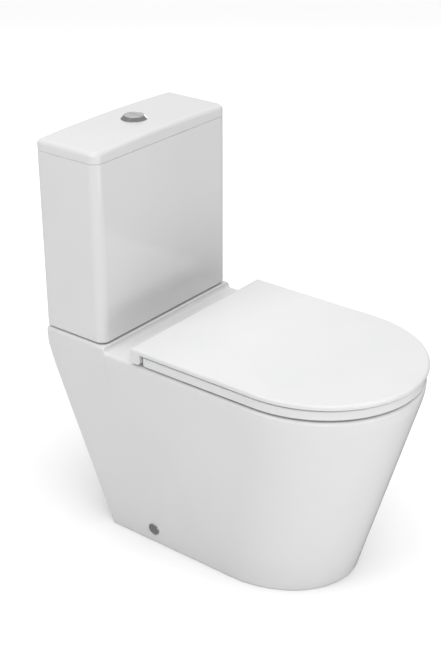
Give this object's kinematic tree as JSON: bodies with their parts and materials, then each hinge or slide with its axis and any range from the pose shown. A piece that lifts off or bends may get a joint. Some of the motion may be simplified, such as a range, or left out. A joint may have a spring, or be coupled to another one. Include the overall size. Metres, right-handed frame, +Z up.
{
  "type": "close coupled toilet",
  "caption": "Close coupled toilet with a tapered skirted pan, slim seat and lid, straight-sided cistern and dual push button.",
  "frame": {"origin": "on the floor, below the middle of the whole object's box", "axes": "+Z up, -Y towards the front of the seat, +Y towards the wall, X across"},
  "size_m": [0.3694, 0.667, 0.774],
  "materials": {
    "ceramic": "white glaze, high gloss",
    "seat_resin": "white, polished",
    "chrome": "polished",
    "steel": "satin",
    "black_rubber": "matt",
    "clear_buffer": "soft, translucent grey",
    "valve_plastic": "satin moulded",
    "rocker_plastic": "satin moulded, blue",
    "bracket_plastic": "satin moulded, grey"
  },
  "bodies": {
    "root": {"pan_skirt": "ceramic", "pan_bowl": "ceramic", "pan_trap": "ceramic", "cistern_tank": "ceramic", "cistern_lid": "ceramic", "tank_pads": "clear_buffer", "coupling_gasket": "black_rubber", "coupling_bolts": "steel", "coupling_cone_washers": "black_rubber", "coupling_washers": "steel", "coupling_wing_nuts": "steel", "button_bezel": "chrome", "button_nut": "valve_plastic", "flush_valve_base": "valve_plastic", "flush_valve_seal": "black_rubber", "flush_valve_backnut": "valve_plastic", "flush_valve_body": "valve_plastic", "rocker_pin": "steel", "fill_valve_body": "valve_plastic", "float_lever_pin": "steel", "fill_valve_seal": "black_rubber", "fill_valve_backnut": "valve_plastic", "hinge_post_left": "chrome", "hinge_post_right": "chrome", "hinge_pin_left": "steel", "hinge_pin_right": "steel", "hinge_studs": "steel", "hinge_washers": "black_rubber", "hinge_wing_nuts": "steel", "floor_bracket_left": "bracket_plastic", "floor_bracket_right": "bracket_plastic", "side_screws": "steel", "screw_cap_left": "chrome", "screw_cap_right": "chrome"},
    "seat_ring_body": {"seat_ring": "seat_resin", "ring_buffers": "clear_buffer"},
    "seat_lid_body": {"seat_lid": "seat_resin", "lid_buffers": "clear_buffer"},
    "full_button_body": {"button_full": "chrome", "push_rod_full": "valve_plastic"},
    "half_button_body": {"button_half": "chrome", "push_rod_half": "valve_plastic"},
    "full_rocker_body": {"full_flush_rocker": "rocker_plastic"},
    "half_rocker_body": {"half_flush_rocker": "rocker_plastic"},
    "valve_body": {"overflow_tube": "rocker_plastic", "valve_disc_seal": "black_rubber"},
    "float_body": {"float_cup": "valve_plastic"},
    "float_lever_body": {"float_lever": "rocker_plastic"}
  },
  "joints": [
    {"name": "ring_hinge", "type": "hinge", "parent": "root", "child": "seat_ring_body", "pos_m": [0, 0.1155, 0.413], "axis": [-1, 0, 0], "range_deg": [0, 93]},
    {"name": "lid_hinge", "type": "hinge", "parent": "seat_ring_body", "child": "seat_lid_body", "pos_m": [0, 0.1155, 0.413], "axis": [1, 0, 0], "range_deg": [-98, 0]},
    {"name": "button_full_press", "type": "slide", "parent": "root", "child": "full_button_body", "axis": [0, 0, -1], "range_m": [0, 0.006], "stiffness_N_per_m": 400, "springref_m": -0.01},
    {"name": "button_half_press", "type": "slide", "parent": "root", "child": "half_button_body", "axis": [0, 0, -1], "range_m": [0, 0.006], "stiffness_N_per_m": 300, "springref_m": -0.01},
    {"name": "full_rocker_turn", "type": "hinge", "parent": "root", "child": "full_rocker_body", "pos_m": [0, 0.2645, 0.655], "axis": [0, -1, 0], "range_deg": [0, 29]},
    {"name": "half_rocker_turn", "type": "hinge", "parent": "root", "child": "half_rocker_body", "pos_m": [0, 0.2645, 0.655], "axis": [0, 1, 0], "range_deg": [0, 29]},
    {"name": "valve_lift", "type": "slide", "parent": "root", "child": "valve_body", "axis": [0, 0, 1], "range_m": [0, 0.0106]},
    {"name": "float_slide", "type": "slide", "parent": "root", "child": "float_body", "axis": [0, 0, 1], "range_m": [-0.015, 0]},
    {"name": "float_lever_turn", "type": "hinge", "parent": "root", "child": "float_lever_body", "pos_m": [0.12, 0.2645, 0.706], "axis": [0, 1, 0], "range_deg": [-27, 0]}
  ],
  "couplings": [
    {"joint": "full_rocker_turn", "follows": "button_full_press", "rad_per_m": 83.333},
    {"joint": "valve_lift", "follows": "button_full_press", "ratio": 1.75},
    {"joint": "half_rocker_turn", "follows": "button_half_press", "rad_per_m": 83.333},
    {"joint": "float_lever_turn", "follows": "float_slide", "rad_per_m": 31.267}
  ]
}
